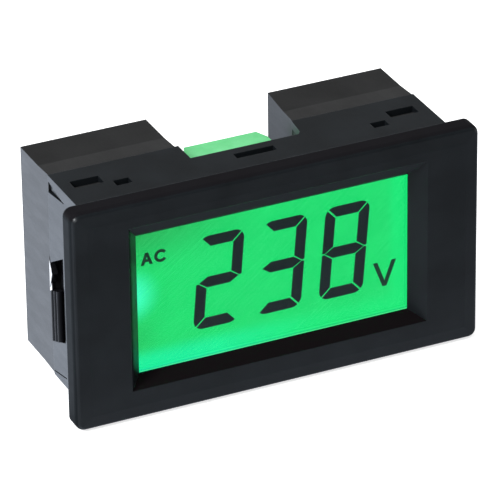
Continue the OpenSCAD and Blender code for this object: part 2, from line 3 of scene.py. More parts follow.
import bmesh
import bpy
from mathutils import Matrix, Vector


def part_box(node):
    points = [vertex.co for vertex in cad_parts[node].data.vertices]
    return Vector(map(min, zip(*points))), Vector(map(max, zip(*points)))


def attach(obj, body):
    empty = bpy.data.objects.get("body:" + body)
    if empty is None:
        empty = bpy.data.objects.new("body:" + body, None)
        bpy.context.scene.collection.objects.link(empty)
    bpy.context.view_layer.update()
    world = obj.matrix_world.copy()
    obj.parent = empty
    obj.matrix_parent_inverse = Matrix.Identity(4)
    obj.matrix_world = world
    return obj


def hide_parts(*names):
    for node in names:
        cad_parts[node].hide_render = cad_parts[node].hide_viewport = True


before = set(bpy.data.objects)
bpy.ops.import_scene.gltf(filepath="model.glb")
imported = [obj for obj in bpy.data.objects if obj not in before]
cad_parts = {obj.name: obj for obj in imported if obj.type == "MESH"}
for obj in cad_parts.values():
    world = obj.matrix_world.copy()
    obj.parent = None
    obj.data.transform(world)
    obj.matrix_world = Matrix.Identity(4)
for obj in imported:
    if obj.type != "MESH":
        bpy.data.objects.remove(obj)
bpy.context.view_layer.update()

MM = 0.001
TURN = 2 * math.pi


# ---- Shader building ----

class Shader:
    """The node tree of a new material or world. Each step adds a node and returns its output."""

    def __init__(self, name, world=False):
        owners = bpy.data.worlds if world else bpy.data.materials
        self.owner = owners.new(name)
        self.owner.use_nodes = True
        self.tree = self.owner.node_tree
        self.tree.nodes.clear()
        self.output = "ShaderNodeOutputWorld" if world else "ShaderNodeOutputMaterial"
        self.place = self.add("ShaderNodeTexCoord").outputs["Generated" if world else "Object"]

    def feed(self, socket, value):
        if isinstance(value, bpy.types.NodeSocket):
            self.tree.links.new(value, socket)
        elif isinstance(value, tuple) and socket.type == "RGBA":
            socket.default_value = (*value, 1.0)
        else:
            socket.default_value = value

    def add(self, kind, inputs=None, **settings):
        node = self.tree.nodes.new(kind)
        for key, value in settings.items():
            setattr(node, key, value)
        for key, value in (inputs or {}).items():
            self.feed(node.inputs[key], value)
        return node

    def math(self, operation, a, b=0.0):
        return self.add("ShaderNodeMath", {0: a, 1: b}, operation=operation).outputs[0]

    def product(self, first, *others):
        for value in others:
            first = self.math("MULTIPLY", first, value)
        return first

    def distance(self, a, b):
        """Length of the step a, b."""
        squares = self.math("ADD", self.math("MULTIPLY", a, a), self.math("MULTIPLY", b, b))
        return self.math("SQRT", squares)

    def ramp(self, value, low, high, to_low=0.0, to_high=1.0):
        """Smooth step of value: to_low at low and to_high at high, whichever is the larger."""
        if low > high:
            low, high, to_low, to_high = high, low, to_high, to_low
        return self.add("ShaderNodeMapRange", {0: value, 1: low, 2: high, 3: to_low, 4: to_high},
                        interpolation_type="SMOOTHSTEP").outputs[0]

    def fade(self, value, start, end):
        """Smooth step of a place, from 0 at start to 1 at end millimetres."""
        return self.ramp(value, start * MM, end * MM)

    def within(self, value, span, soft=0.1):
        """1 where a place lies in the span, in millimetres, with edges soft millimetres wide."""
        low, high = span
        return self.product(self.fade(value, low, low + soft), self.fade(value, high, high - soft))

    def mix(self, share, a, b):
        node = self.add("ShaderNodeMix", data_type="RGBA")
        self.feed(node.inputs[0], share)
        self.feed(node.inputs[6], a)
        self.feed(node.inputs[7], b)
        return node.outputs[2]

    def blend(self, share, first, second):
        """Mix of two surfaces."""
        return self.add("ShaderNodeMixShader", {0: share, 1: first, 2: second}).outputs[0]

    def axis(self, index):
        """X, Y or Z of the point, in metres in the part's frame."""
        return self.add("ShaderNodeSeparateXYZ", {0: self.place}).outputs[index]

    def facing(self, index):
        """X, Y or Z of the surface's normal."""
        normal = self.add("ShaderNodeNewGeometry").outputs["Normal"]
        return self.add("ShaderNodeSeparateXYZ", {0: normal}).outputs[index]

    def stretched(self, x, y, z):
        return self.add("ShaderNodeMapping", {"Vector": self.place, "Scale": (x, y, z)}).outputs[0]

    def noise(self, size, detail=3.0, rough=0.55, place=None):
        """Soft noise from 0 to 1, with blotches about size metres across."""
        node = self.add("ShaderNodeTexNoise", {"Vector": place or self.place, "Scale": 1 / size,
                                               "Detail": detail, "Roughness": rough})
        return node.outputs[0]

    def cells(self, size):
        """Cell pattern's outputs: the Distance to a cell's middle and the cell's own Color."""
        return self.add("ShaderNodeTexVoronoi", {"Vector": self.place, "Scale": 1 / size}).outputs

    def specks(self, spacing, radius, share):
        """Sparse round specks: 1 on a speck and 0 off it."""
        cell = self.cells(spacing)
        draw = self.add("ShaderNodeSeparateColor", {0: cell["Color"]}).outputs[0]
        kept = self.ramp(draw, 1 - share, 1 - share + 0.02)
        dot = self.ramp(cell["Distance"], radius / spacing, 0.4 * radius / spacing)
        return self.product(kept, dot)

    def soft_edges(self, radius):
        return self.add("ShaderNodeBevel", {"Radius": radius}, samples=4).outputs[0]

    def edge_mask(self, radius):
        """1 along edges and 0 on open faces."""
        flat = self.add("ShaderNodeNewGeometry").outputs["Normal"]
        dot = self.add("ShaderNodeVectorMath", {0: self.soft_edges(radius), 1: flat},
                       operation="DOT_PRODUCT")
        return self.ramp(dot.outputs["Value"], 0.995, 0.86)

    def bump(self, height, depth, normal=None):
        inputs = {"Height": height, "Distance": depth, "Strength": 1.0}
        if normal is not None:
            inputs["Normal"] = normal
        return self.add("ShaderNodeBump", inputs).outputs[0]

    def principled(self, **inputs):
        names = {key.replace("_", " "): value for key, value in inputs.items()}
        return self.add("ShaderNodeBsdfPrincipled", names).outputs[0]

    def finish(self, surface):
        self.add(self.output, {"Surface": surface})
        return self.owner


def scaled(colour, factor):
    return tuple(min(1.0, c * factor) for c in colour)


# ---- Plastics ----

FRAME_BLACK = (0.0080, 0.0102, 0.0124)
FRAME_MATT = (0.0105, 0.0125, 0.0145)
# Painted shade for the window wall that faces up, painted light for the one that faces down.
FRAME_MATT_PAINTED_SHADE = (0.0085, 0.0066, 0.0075)
FRAME_MATT_PAINTED_LIGHT = (0.026, 0.030, 0.035)
CASE_BLACK = (0.0130, 0.0132, 0.0136)
# Painted shade over the clip's tooth in its pocket, and a painted glint on its outward face.
TOOTH_PAINTED_SHADE = (0.006, 0.006, 0.007)
TOOTH_PAINTED_GLINT = (0.84, 0.86, 0.90)
DUST = (0.32, 0.33, 0.34)

# Places in the part's frame, mm, each as a start and an end.
BEZEL_SIDE_X = (37.0, 37.6)         # where the bezel's face turns into its left and right sides
BEZEL_SIDE_Z = (20.1, 20.5)         # and into its top and bottom
BEZEL_Y = (-3.6, 0.0)
WINDOW_X = (-29.6, 29.6)
WINDOW_Y = (-4.18, 0.5)
WINDOW_Z = (-16.0, 17.6)
UPPER_WALL_TURNS_MATT = (-1.55, -1.8)
LEFT_WALL_TURNS_MATT = (-2.9, -4.0)
TOOTH_X = (34.8, 36.9)
TOOTH_Y = (13.0, 16.36)
TOOTH_Z = (-3.6, 4.0)
TOOTH_TOP = (-5.55, -5.70)          # height of the painted glint's slanted top, where y is 0
TOOTH_SLOPE = 0.5                   # rise of that line in Z to a step in Y

WALL_SLOPE = (0.2, 0.35)            # how far a normal turns from the front to count as a wall's


def moulded_surface(s, colour, roughness, grain, edge, dust):
    """Colour, roughness and normal of injection-moulded plastic. Grain and edge are in mm."""
    cloud = s.noise(9 * MM, 3)
    fine = s.noise(0.22 * MM, 2)
    pores = s.cells(0.35 * MM)["Distance"]
    # Edges, which get a painted highlight in their colour and a little less roughness.
    highlit_edges = s.edge_mask(edge * MM)
    base = s.mix(s.ramp(cloud, 0.3, 0.7), scaled(colour, 0.82), scaled(colour, 1.2))
    # Painted edge highlight: the colour is lightened along edges.
    base = s.mix(s.product(highlit_edges, 0.35), base, scaled(colour, 2.2))
    if dust:
        specks = s.specks(3.1 * MM, 0.1 * MM, dust)
        base = s.mix(s.product(specks, 0.5), base, DUST)
    smear = s.noise(2.6 * MM, 4, 0.65, s.stretched(1, 0.35, 1.6))
    sheen = s.math("ADD", s.ramp(smear, 0.25, 0.75, -0.03, 0.04),
                   s.ramp(fine, 0.2, 0.8, -0.03, 0.03))
    rough = s.math("ADD", s.product(highlit_edges, -0.05), s.math("ADD", sheen, roughness))
    relief = s.math("ADD", s.product(fine, 0.7), s.product(pores, 0.5))
    normal = s.bump(relief, grain * MM, s.soft_edges(edge * MM))
    return {"Base_Color": base, "Roughness": rough, "Normal": normal}


def moulded(name, colour, roughness, grain=0.004, edge=0.12, level=0.5):
    """Injection-moulded plastic: eroded grain, flow clouds, handling sheen, edges with a painted
    highlight.
    """
    s = Shader(name)
    surface = moulded_surface(s, colour, roughness, grain, edge, dust=0.0)
    return s.finish(s.principled(**surface, Specular_IOR_Level=level))


def bezel_sides(s):
    """Mask of the bezel's outer sides, which have a dull eroded finish."""
    wide = s.fade(s.math("ABSOLUTE", s.axis(0)), *BEZEL_SIDE_X)
    high = s.fade(s.math("ABSOLUTE", s.axis(2)), *BEZEL_SIDE_Z)
    return s.product(s.math("MAXIMUM", wide, high), s.within(s.axis(1), BEZEL_Y, 0.4))


def window_walls(s):
    """Mask of the window's matt walls: the lower one, and the outer part of the upper and left."""
    start, end = WALL_SLOPE
    lower = s.ramp(s.facing(2), start, end)
    upper = s.product(s.ramp(s.facing(2), -start, -end), s.fade(s.axis(1), *UPPER_WALL_TURNS_MATT))
    left = s.product(s.ramp(s.facing(0), start, end), s.fade(s.axis(1), *LEFT_WALL_TURNS_MATT))
    walls = s.math("MAXIMUM", lower, s.math("MAXIMUM", upper, left))
    return s.product(walls, s.within(s.axis(0), WINDOW_X), s.within(s.axis(2), WINDOW_Z),
                     s.within(s.axis(1), WINDOW_Y))


def frame_plastic():
    """The front frame's plastic, satin on its face and duller on its sides and window walls. The walls
    carry painted shade where they face up and painted light where they face down.
    """
    s = Shader("frame_black")
    surface = moulded_surface(s, FRAME_BLACK, 0.34, grain=0.004, edge=0.12, dust=0.1)
    satin = s.principled(**surface, Specular_IOR_Level=0.5)
    dull = s.principled(**surface, Specular_IOR_Level=0.08)
    # Painted shade on the upward-facing lower wall, painted light on the downward-facing upper wall.
    colour = s.mix(s.ramp(s.facing(2), 0.2, 0.5), FRAME_MATT, FRAME_MATT_PAINTED_SHADE)
    colour = s.mix(s.ramp(s.facing(2), -0.2, -0.5), colour, FRAME_MATT_PAINTED_LIGHT)
    matt = s.add("ShaderNodeBsdfDiffuse", {"Color": colour, "Normal": surface["Normal"]})
    sides = bezel_sides(s)
    share = s.math("MAXIMUM", s.product(sides, 0.65), window_walls(s))
    return s.finish(s.blend(share, s.blend(sides, satin, dull), matt.outputs[0]))


def case_plastic():
    """The rear case's plastic. The clip's tooth has a painted glint low down on its outward face and
    painted shade on the rest of it.
    """
    s = Shader("case_black")
    surface = moulded_surface(s, CASE_BLACK, 0.38, grain=0.006, edge=0.12, dust=0.2)
    tooth = s.product(s.within(s.math("ABSOLUTE", s.axis(0)), TOOTH_X),
                      s.within(s.axis(1), TOOTH_Y), s.within(s.axis(2), TOOTH_Z))
    height = s.math("SUBTRACT", s.axis(2), s.product(s.axis(1), TOOTH_SLOPE))
    outward = s.ramp(s.math("ABSOLUTE", s.facing(0)), 0.75, 0.9)
    # Streaks that break up the painted glint.
    glint_streaks = s.ramp(s.noise(0.3 * MM, 3, 0.6, s.stretched(1, 0.3, 1)), 0.3, 0.7, 0.88, 1.0)
    bright = s.product(s.fade(height, *TOOTH_TOP), outward, glint_streaks)
    tooth_shade_and_glint = s.mix(bright, TOOTH_PAINTED_SHADE, TOOTH_PAINTED_GLINT)
    surface["Base_Color"] = s.mix(tooth, surface["Base_Color"], tooth_shade_and_glint)
    return s.finish(s.principled(**surface, Specular_IOR_Level=0.5))


def terminal_plastic():
    """Pale green polyamide that lets a little light in."""
    s = Shader("terminal_green")
    cloud = s.noise(4 * MM, 3)
    fine = s.noise(0.18 * MM, 2)
    highlit_edges = s.edge_mask(0.25 * MM)
    base = s.mix(s.ramp(cloud, 0.3, 0.7), (0.13, 0.55, 0.22), (0.17, 0.62, 0.27))
    # Painted edge highlight: pale green along the edges.
    base = s.mix(s.product(highlit_edges, 0.5), base, (0.40, 0.86, 0.55))
    rough = s.ramp(s.noise(1.2 * MM, 4), 0.25, 0.75, 0.36, 0.5)
    normal = s.bump(fine, 0.006 * MM, s.soft_edges(0.2 * MM))
    return s.finish(s.principled(Base_Color=base, Roughness=rough, Normal=normal,
                                 Subsurface_Weight=0.25, Subsurface_Scale=0.8 * MM,
                                 Subsurface_Radius=(0.5, 1.0, 0.6), IOR=1.53))


# ---- Display ----

SHEET_GREEN = (0.006, 0.610, 0.150)
SHEET_DIM_TOP = (0.016, 0.32, 0.076)
SHEET_DIM_LOW = (0.010, 0.47, 0.110)
SHEET_RIGHT_EDGE = (0.002, 0.69, 0.18)
FOOT_GREENS = ((0.002, 0.77, 0.35), (0.002, 0.68, 0.18))    # left and right end of the bright foot
FOOT_X = (-18, 14)                  # where one turns into the other, mm
HOT_SPOT = (0.055, 0.95, 0.62)
HOT_SPOT_AT = (-27.2, 0.3)          # x and z of its middle, mm
HOT_SPOT_REACH = (7.0, 6.6)         # its half width and half height, mm
LIT_BASE = (0.01, 0.12, 0.05)       # colour by room light of what the backlight shines through
SEAL_HIGHLIGHT_Z = (-14.12, -14.20)       # where the seal's painted pale highlight along its lower edge begins, mm
HOLDER_GLOW_X = (-28.3, 28.3)       # how far the holder glows round the lit sheet, mm
HOLDER_GLOW_Z = (-14.9, 14.7)


def see_through(name, tint, haze, gloss):
    """Clear sheet that doesn't bend what lies behind it. Only its outer side is glossy."""
    s = Shader(name)
    smudge = s.noise(9 * MM, 2, 0.5)
    colour = s.mix(s.ramp(smudge, 0.3, 0.7), tint, scaled(tint, 0.995))
    clear = s.add("ShaderNodeBsdfTransparent", {"Color": colour}).outputs[0]
    rough = s.ramp(smudge, 0.3, 0.75, haze, haze + 0.02)
    normal = s.bump(s.noise(0.5 * MM, 2), 0.0002 * MM)
    shine = s.add("ShaderNodeBsdfGlossy", {"Roughness": rough, "Normal": normal}).outputs[0]
    fresnel = s.add("ShaderNodeFresnel", {"IOR": 1.49}).outputs[0]
    outer = s.ramp(s.add("ShaderNodeNewGeometry").outputs["Backfacing"], 0.6, 0.4)
    body = s.blend(s.product(fresnel, gloss, outer), clear, shine)
    mote = s.principled(Base_Color=(0.6, 0.65, 0.62), Roughness=0.9)
    dust = s.specks(4.3 * MM, 0.09 * MM, 0.35)
    return s.finish(s.blend(s.product(dust, 0.25, outer), body, mote))


def segment_ink(name, colour, glow, edge_glow):
    """A driven segment of the cell: near black, with a little of the backlight at its rim."""
    s = Shader(name)
    rim = s.edge_mask(0.16 * MM)
    grain = s.noise(0.3 * MM, 3)
    base = s.mix(s.ramp(grain, 0.3, 0.7), scaled(colour, 0.85), scaled(colour, 1.2))
    light = s.mix(s.product(rim, edge_glow), glow, (0.01, 0.20, 0.07))
    rough = s.ramp(grain, 0.3, 0.7, 0.35, 0.5)
    normal = s.bump(grain, 0.002 * MM)
    return s.finish(s.principled(Base_Color=base, Roughness=rough, Normal=normal,
                                 Emission_Color=light, Emission_Strength=1.0))


def foot_colour(s):
    """Green of the lit sheet's bright foot, from its left end to its right."""
    return s.mix(s.fade(s.axis(0), *FOOT_X), *FOOT_GREENS)


def backlight_colour(s):
    """Colour of the lit sheet: a hot spot at the LED on its left, dim above and below that, and
    brighter along its foot and its right edge."""
    x = s.axis(0)
    z = s.axis(2)
    dim_top = s.product(s.fade(x, 2, -27), s.fade(z, 3, 14))
    dim_low = s.product(s.fade(x, -19, -27), s.fade(z, -1, -8), 0.85)
    colour = s.mix(dim_top, SHEET_GREEN, SHEET_DIM_TOP)
    colour = s.mix(dim_low, colour, SHEET_DIM_LOW)
    colour = s.mix(s.fade(z, -9.8, -13.2), colour, foot_colour(s))
    colour = s.mix(s.fade(x, 23.0, 25.2), colour, SHEET_RIGHT_EDGE)
    across, up = (s.math("DIVIDE", s.math("SUBTRACT", place, at * MM), reach * MM)
                  for place, at, reach in zip((x, z), HOT_SPOT_AT, HOT_SPOT_REACH))
    return s.mix(s.ramp(s.distance(across, up), 1.0, 0.1), colour, HOT_SPOT)


def lit_seal():
    """Seal round the cell, glowing as green as the lit sheet's foot, with a painted pale highlight
    along its lower edge.
    """
    s = Shader("seal_pale")
    grain = s.noise(0.4 * MM, 3)
    # Painted pale highlight along the seal's lower edge.
    rim = s.fade(s.axis(2), *SEAL_HIGHLIGHT_Z)
    light = s.mix(rim, foot_colour(s), (0.10, 0.66, 0.28))
    base = s.mix(rim, LIT_BASE, (0.30, 0.55, 0.36))
    normal = s.bump(grain, 0.004 * MM)
    return s.finish(s.principled(Base_Color=base, Roughness=s.ramp(grain, 0.2, 0.8, 0.4, 0.5),
                                 Normal=normal, Emission_Color=light,
                                 Emission_Strength=s.ramp(grain, 0.3, 0.7, 0.95, 1.0)))


def lit_holder():
    """White holder of the display, which glows green where it frames the lit sheet."""
    s = Shader("holder_white")
    grain = s.noise(0.4 * MM, 3)
    glow = s.product(s.within(s.axis(0), HOLDER_GLOW_X), s.within(s.axis(2), HOLDER_GLOW_Z))
    base = s.mix(s.ramp(s.noise(3 * MM, 3), 0.3, 0.7), (0.74, 0.74, 0.71), (0.82, 0.82, 0.79))
    base = s.mix(glow, base, (0.05, 0.30, 0.14))
    normal = s.bump(grain, 0.004 * MM, s.soft_edges(0.12 * MM))
    return s.finish(s.principled(Base_Color=base, Roughness=s.ramp(grain, 0.2, 0.8, 0.38, 0.48),
                                 Normal=normal, Emission_Color=foot_colour(s),
                                 Emission_Strength=s.product(glow, 0.9)))


def lit_diffuser():
    """Opal sheet in front of the light guide, with the guide's dots showing faintly."""
    s = Shader("lit_diffuser")
    dots = s.ramp(s.cells(0.9 * MM)["Distance"], 0.15, 0.55, 1.0, 0.985)
    cloud = s.ramp(s.noise(3 * MM, 3), 0.3, 0.7, 0.985, 1.01)
    normal = s.bump(s.noise(0.12 * MM, 2), 0.004 * MM)
    return s.finish(s.principled(Base_Color=LIT_BASE, Roughness=0.8, Normal=normal,
                                 Emission_Color=backlight_colour(s),
                                 Emission_Strength=s.product(dots, cloud)))


def glowing(name, colour, glow, strength, rough):
    """Translucent inner piece that the backlight shines through."""
    s = Shader(name)
    grain = s.noise(0.4 * MM, 3)
    light = s.mix(s.ramp(grain, 0.3, 0.7), scaled(glow, 0.9), glow)
    base = s.mix(s.ramp(s.noise(2 * MM, 2), 0.3, 0.7), scaled(colour, 0.92), colour)
    normal = s.bump(grain, 0.004 * MM)
    rough = s.ramp(grain, 0.2, 0.8, rough, rough + 0.1)
    return s.finish(s.principled(Base_Color=base, Roughness=rough, Normal=normal,
                                 Emission_Color=light, Emission_Strength=strength))


# ---- Metals ----

def from_axis(s, x, z):
    """Distance of the point from the line along Y through x, z, in metres."""
    return s.distance(s.math("SUBTRACT", s.axis(0), x), s.math("SUBTRACT", s.axis(2), z))


def plated(name, colour, roughness, axis_xz=None):
    """Plated metal, with turned rings about axis_xz where it was cut on a lathe."""
    ring_pitch = 0.16 * MM
    s = Shader(name)
    patina = s.noise(0.9 * MM, 4, 0.65)
    height = s.noise(0.15 * MM, 2, 0.5, s.stretched(1, 6, 1))
    base = s.mix(s.ramp(patina, 0.3, 0.75), colour, scaled(colour, 0.72))
    rough = s.ramp(patina, 0.25, 0.75, roughness - 0.06, roughness + 0.1)
    if axis_xz:
        rings = s.math("SINE", s.product(from_axis(s, *axis_xz), TURN / ring_pitch))
        height = s.math("ADD", height, s.product(rings, 0.3))
    normal = s.bump(height, 0.003 * MM, s.soft_edges(0.08 * MM))
    return s.finish(s.principled(Base_Color=base, Metallic=1.0, Roughness=rough, Normal=normal))


# ---- Board and its parts ----

RESISTOR_BANDS = ((0.45, 0.02, 0.01), (0.55, 0.10, 0.01), (0.01, 0.01, 0.01),
                  (0.45, 0.02, 0.01), (0.10, 0.03, 0.01))
# Places of the bands on the body, as shares of half its length.
FIRST_BAND = -0.62
BAND_PITCH = 0.27
LAST_BAND_GAP = 0.12
BAND_EDGE = (0.075, 0.06)


def printed_board():
    """Green solder mask over copper tracks, with a weave from the glass cloth under it."""
    s = Shader("board_green")
    turned = s.add("ShaderNodeMapping", {"Vector": s.place, "Rotation": (math.pi / 2, 0, 0)})
    tracks = s.add("ShaderNodeTexBrick", {"Vector": turned.outputs[0], "Scale": 1.0,
                                          "Brick Width": 5.1 * MM, "Row Height": 1.27 * MM,
                                          "Mortar Size": 0.14 * MM, "Mortar Smooth": 0.2})
    on_track = tracks.outputs["Fac"]
    weave = s.noise(0.4 * MM, 1, 0.5, s.stretched(1, 1, 3))
    mask = s.mix(s.ramp(weave, 0.3, 0.7), (0.008, 0.095, 0.035), (0.012, 0.13, 0.05))
    base = s.mix(on_track, mask, (0.03, 0.24, 0.09))
    rough = s.ramp(s.noise(2 * MM, 3), 0.3, 0.7, 0.28, 0.42)
    normal = s.bump(s.math("ADD", on_track, s.product(weave, 0.4)), 0.03 * MM)
    return s.finish(s.principled(Base_Color=base, Roughness=rough, Normal=normal))


def leaded(name, colour, roughness, on_metal, marking=None):
    """Component body with tinned leads where on_metal(shader) is 1. marking(shader, body) gives
    the body's colour with its marks."""
    s = Shader(name)
    grain = s.noise(0.25 * MM, 3)
    metal = on_metal(s)
    body = s.mix(s.ramp(grain, 0.3, 0.7), scaled(colour, 0.85), scaled(colour, 1.12))
    if marking:
        body = marking(s, body)
    base = s.mix(metal, body, (0.62, 0.62, 0.60))
    rough = s.math("ADD", s.ramp(grain, 0.3, 0.7, -0.04, 0.06),
                   s.ramp(metal, 0.0, 1.0, roughness, 0.3))
    normal = s.bump(grain, 0.006 * MM, s.soft_edges(0.1 * MM))
    return s.finish(s.principled(Base_Color=base, Metallic=metal, Roughness=rough, Normal=normal))


def beyond(index, middle, reach):
    """Mask that is 1 further than reach from middle along one axis, all in metres."""
    edge = 0.02 * MM

    def mask(s):
        away = s.math("ABSOLUTE", s.math("SUBTRACT", s.axis(index), middle))
        return s.ramp(away, reach - edge, reach + edge)
    return mask


def middle_of(node):
    low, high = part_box(node)
    return (low + high) / 2


def chip():
    half_body = 3.8 * MM
    centre = middle_of("converter_chip")
    return leaded("chip_black", (0.012, 0.012, 0.013), 0.55, beyond(0, centre.x, half_body))


def regulator():
    leads = 2.0 * MM
    low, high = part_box("regulator")
    return leaded("regulator_black", (0.013, 0.013, 0.014), 0.45,
                  beyond(1, high.y, high.y - low.y - leads))


def rectifier():
    s = Shader("rectifier_black")
    grain = s.noise(0.2 * MM, 3)
    base = s.mix(s.ramp(grain, 0.3, 0.7), (0.010, 0.010, 0.011), (0.017, 0.017, 0.018))
    normal = s.bump(grain, 0.008 * MM, s.soft_edges(0.15 * MM))
    return s.finish(s.principled(Base_Color=base, Roughness=s.ramp(grain, 0.2, 0.8, 0.45, 0.6),
                                 Normal=normal))


def resistor(node, half_body):
    """Blue metal-film resistor with five colour bands and tinned leads."""
    centre = middle_of(node).x

    def bands(s, body):
        start, end = BAND_EDGE
        for i, colour in enumerate(RESISTOR_BANDS):
            at = FIRST_BAND + BAND_PITCH * i
            if i == len(RESISTOR_BANDS) - 1:
                at += LAST_BAND_GAP
            away = s.math("ABSOLUTE", s.math("SUBTRACT", s.axis(0), centre + half_body * at))
            body = s.mix(s.ramp(away, start * half_body, end * half_body), body, colour)
        return body

    return leaded(node + "_blue", (0.16, 0.34, 0.52), 0.3, beyond(0, centre, half_body), bands)


def sleeve():
    """Shrunk sleeve with one pale stripe, and the can's aluminium showing at the end."""
    stripe_x = (2.6 * MM, 2.7 * MM)     # from the can's axis
    bare_radius = (3.45 * MM, 3.4 * MM)
    bare_depth = (0.5 * MM, 0.4 * MM)   # from the can's end
    centre = middle_of("electrolytic_capacitor")
    can_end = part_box("electrolytic_capacitor")[1].y

    def stripe(s, body):
        side = s.ramp(s.axis(0), *(centre.x + x for x in stripe_x))
        return s.mix(side, body, (0.50, 0.52, 0.55))

    def end(s):
        inner = s.ramp(from_axis(s, centre.x, centre.z), *bare_radius)
        return s.product(inner, s.ramp(s.axis(1), *(can_end - depth for depth in bare_depth)))

    return leaded("sleeve_navy", (0.02, 0.035, 0.10), 0.32, end, stripe)


def striped_rubber():
    """Elastomer strip: pink insulating skin with fine carbon layers across it."""
    layer_pitch = 0.18 * MM
    s = Shader("elastomer_pink")
    wave = s.math("SINE", s.product(s.axis(0), TURN / layer_pitch))
    grain = s.noise(0.5 * MM, 3)
    skin = s.mix(s.ramp(grain, 0.3, 0.7), (0.60, 0.20, 0.28), (0.70, 0.27, 0.36))
    base = s.mix(s.ramp(wave, 0.35, 0.6), skin, (0.03, 0.02, 0.02))
    normal = s.bump(grain, 0.01 * MM)
    return s.finish(s.principled(Base_Color=base, Roughness=0.65, Normal=normal))


def make_materials():
    """One finished material for every CAD node."""
    clear = see_through("display_glass", (0.985, 1.0, 0.99), 0.03, 0.0)
    clip = moulded("clip_black", (0.0030, 0.0029, 0.0042), 0.42, grain=0.003, edge=0.1, level=0.12)
    strip = striped_rubber()
    brass = plated("contact_brass", (0.78, 0.56, 0.24), 0.28)
    steel = plated("cage_steel", (0.66, 0.66, 0.68), 0.26)
    terminals = {side: middle_of(side + "_clamp_screw") for side in ("left", "right")}
    screws = {side: plated(side + "_screw_zinc", (0.72, 0.72, 0.73), 0.24, (at.x, at.z))
              for side, at in terminals.items()}
    return {
        "front_frame": frame_plastic(),
        "rear_case": case_plastic(),
        "left_clip": clip,
        "right_clip": clip,
        "front_polariser": see_through("polariser_front", (0.97, 1.0, 0.98), 0.10, 1.0),
        "front_glass": clear,
        "cell_seal": lit_seal(),
        "digit_segments": segment_ink("segment_dark", (0.006, 0.007, 0.009),
                                      (0.001, 0.004, 0.006), 0.5),
        "unit_marks": segment_ink("mark_green", (0.003, 0.02, 0.010), (0.0005, 0.022, 0.010), 0.4),
        "rear_glass": clear,
        "rear_polariser": see_through("polariser_rear", (0.98, 1.0, 0.985), 0.2, 0.0),
        "diffuser_sheet": lit_diffuser(),
        "light_guide": glowing("clear_acrylic", (0.70, 0.90, 0.75), (0.05, 0.72, 0.24), 0.8, 0.1),
        "reflector_sheet": glowing("white_film", (0.86, 0.88, 0.87), (0.04, 0.40, 0.14), 0.3, 0.5),
        "backlight_led": glowing("led_yellow", (0.85, 0.80, 0.35), (0.10, 0.95, 0.45), 3.0, 0.3),
        "led_board": moulded("white_board", (0.72, 0.72, 0.68), 0.42, grain=0.003),
        "display_holder": lit_holder(),
        "upper_contact_strip": strip,
        "lower_contact_strip": strip,
        "main_board": printed_board(),
        "board_screws": plated("screw_steel", (0.62, 0.62, 0.60), 0.3),
        "converter_chip": chip(),
        "trimmer_body": moulded("trimmer_blue", (0.02, 0.07, 0.42), 0.36),
        "trimmer_rotor": moulded("rotor_cream", (0.78, 0.76, 0.68), 0.4),
        "film_capacitor": moulded("film_yellow", (0.66, 0.46, 0.03), 0.4, grain=0.01, edge=0.4),
        "electrolytic_capacitor": sleeve(),
        "bridge_rectifier": rectifier(),
        "dropper_resistor": resistor("dropper_resistor", 4.75 * MM),
        "divider_resistors": resistor("divider_resistors", 3.1 * MM),
        "regulator": regulator(),
        "integrator_capacitors": moulded("capacitor_red", (0.42, 0.03, 0.02), 0.22, grain=0.01,
                                         edge=0.5),
        "terminal_housing": terminal_plastic(),
        "left_contact": brass,
        "right_contact": brass,
        "left_cage": steel,
        "right_cage": steel,
        "left_clamp_screw": screws["left"],
        "right_clamp_screw": screws["right"],
    }


def dress_nodes(materials):
    for name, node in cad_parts.items():
        node.data.materials.clear()
        node.data.materials.append(materials[name])


# ---- Display figures, in millimetres up to thin_plates ----

READING = (2, 3, 8)
LIT = {2: "abged", 3: "abgcd", 8: "abcdefg"}
FIGURE = (8.75, 18.3)               # width and height of a figure
STROKE = (2.05, 2.08)               # width of its upright segments and height of its level ones
FIGURE_PITCH = 12.3
FIGURE_LEAN = math.tan(math.radians(4.9))
FIGURES_PAST_NODE = 0.25            # how far the last figure reaches past its node on the right
SEGMENT_GAP = 0.21
SEGMENT_TIP = 0.22                  # how far a segment's point is set in, as a share of its width
CORNER_R = 1.9
ARC_STEPS = 12                      # to a quarter turn

AC_STROKE = 0.56
A_SIZE = (2.3, 2.4)
A_AT = (-0.3, -2.45)                # from the upper left corner of the marks' node
C_HEIGHT = 2.5
C_AT = (2.3, -2.5)                  # from the same corner
C_MOUTH = math.radians(36)          # half the angle that the C is open
C_STEPS = 36
V_SIZE = (4.6, 5)                   # in the lower right corner of the marks' node
V_STROKE = 0.8


def segment_outlines():
    """Outlines of a figure's seven segments, upright, as [x, z]."""
    w, h = FIGURE
    s, t = STROKE
    g = SEGMENT_GAP
    m = h / 2
    tip = SEGMENT_TIP * s
    return {
        "a": [(g, h), (w - g, h), (w - s - g, h - t), (s + g, h - t)],
        "b": [(w, h - g), (w, m + g), (w - tip, m + g / 2), (w - s, m + t / 2 + g), (w - s, h - t - g)],
        "c": [(w, g), (w, m - g), (w - tip, m - g / 2), (w - s, m - t / 2 - g), (w - s, t + g)],
        "d": [(g, 0), (w - g, 0), (w - s - g, t), (s + g, t)],
        "e": [(0, g), (0, m - g), (tip, m - g / 2), (s, m - t / 2 - g), (s, t + g)],
        "f": [(0, h - g), (0, m + g), (tip, m + g / 2), (s, m + t / 2 + g), (s, h - t - g)],
        "g": [(tip + g / 2, m), (s + g / 2, m + t / 2), (w - s - g / 2, m + t / 2),
              (w - tip - g / 2, m), (w - s - g / 2, m - t / 2), (s + g / 2, m - t / 2)],
    }


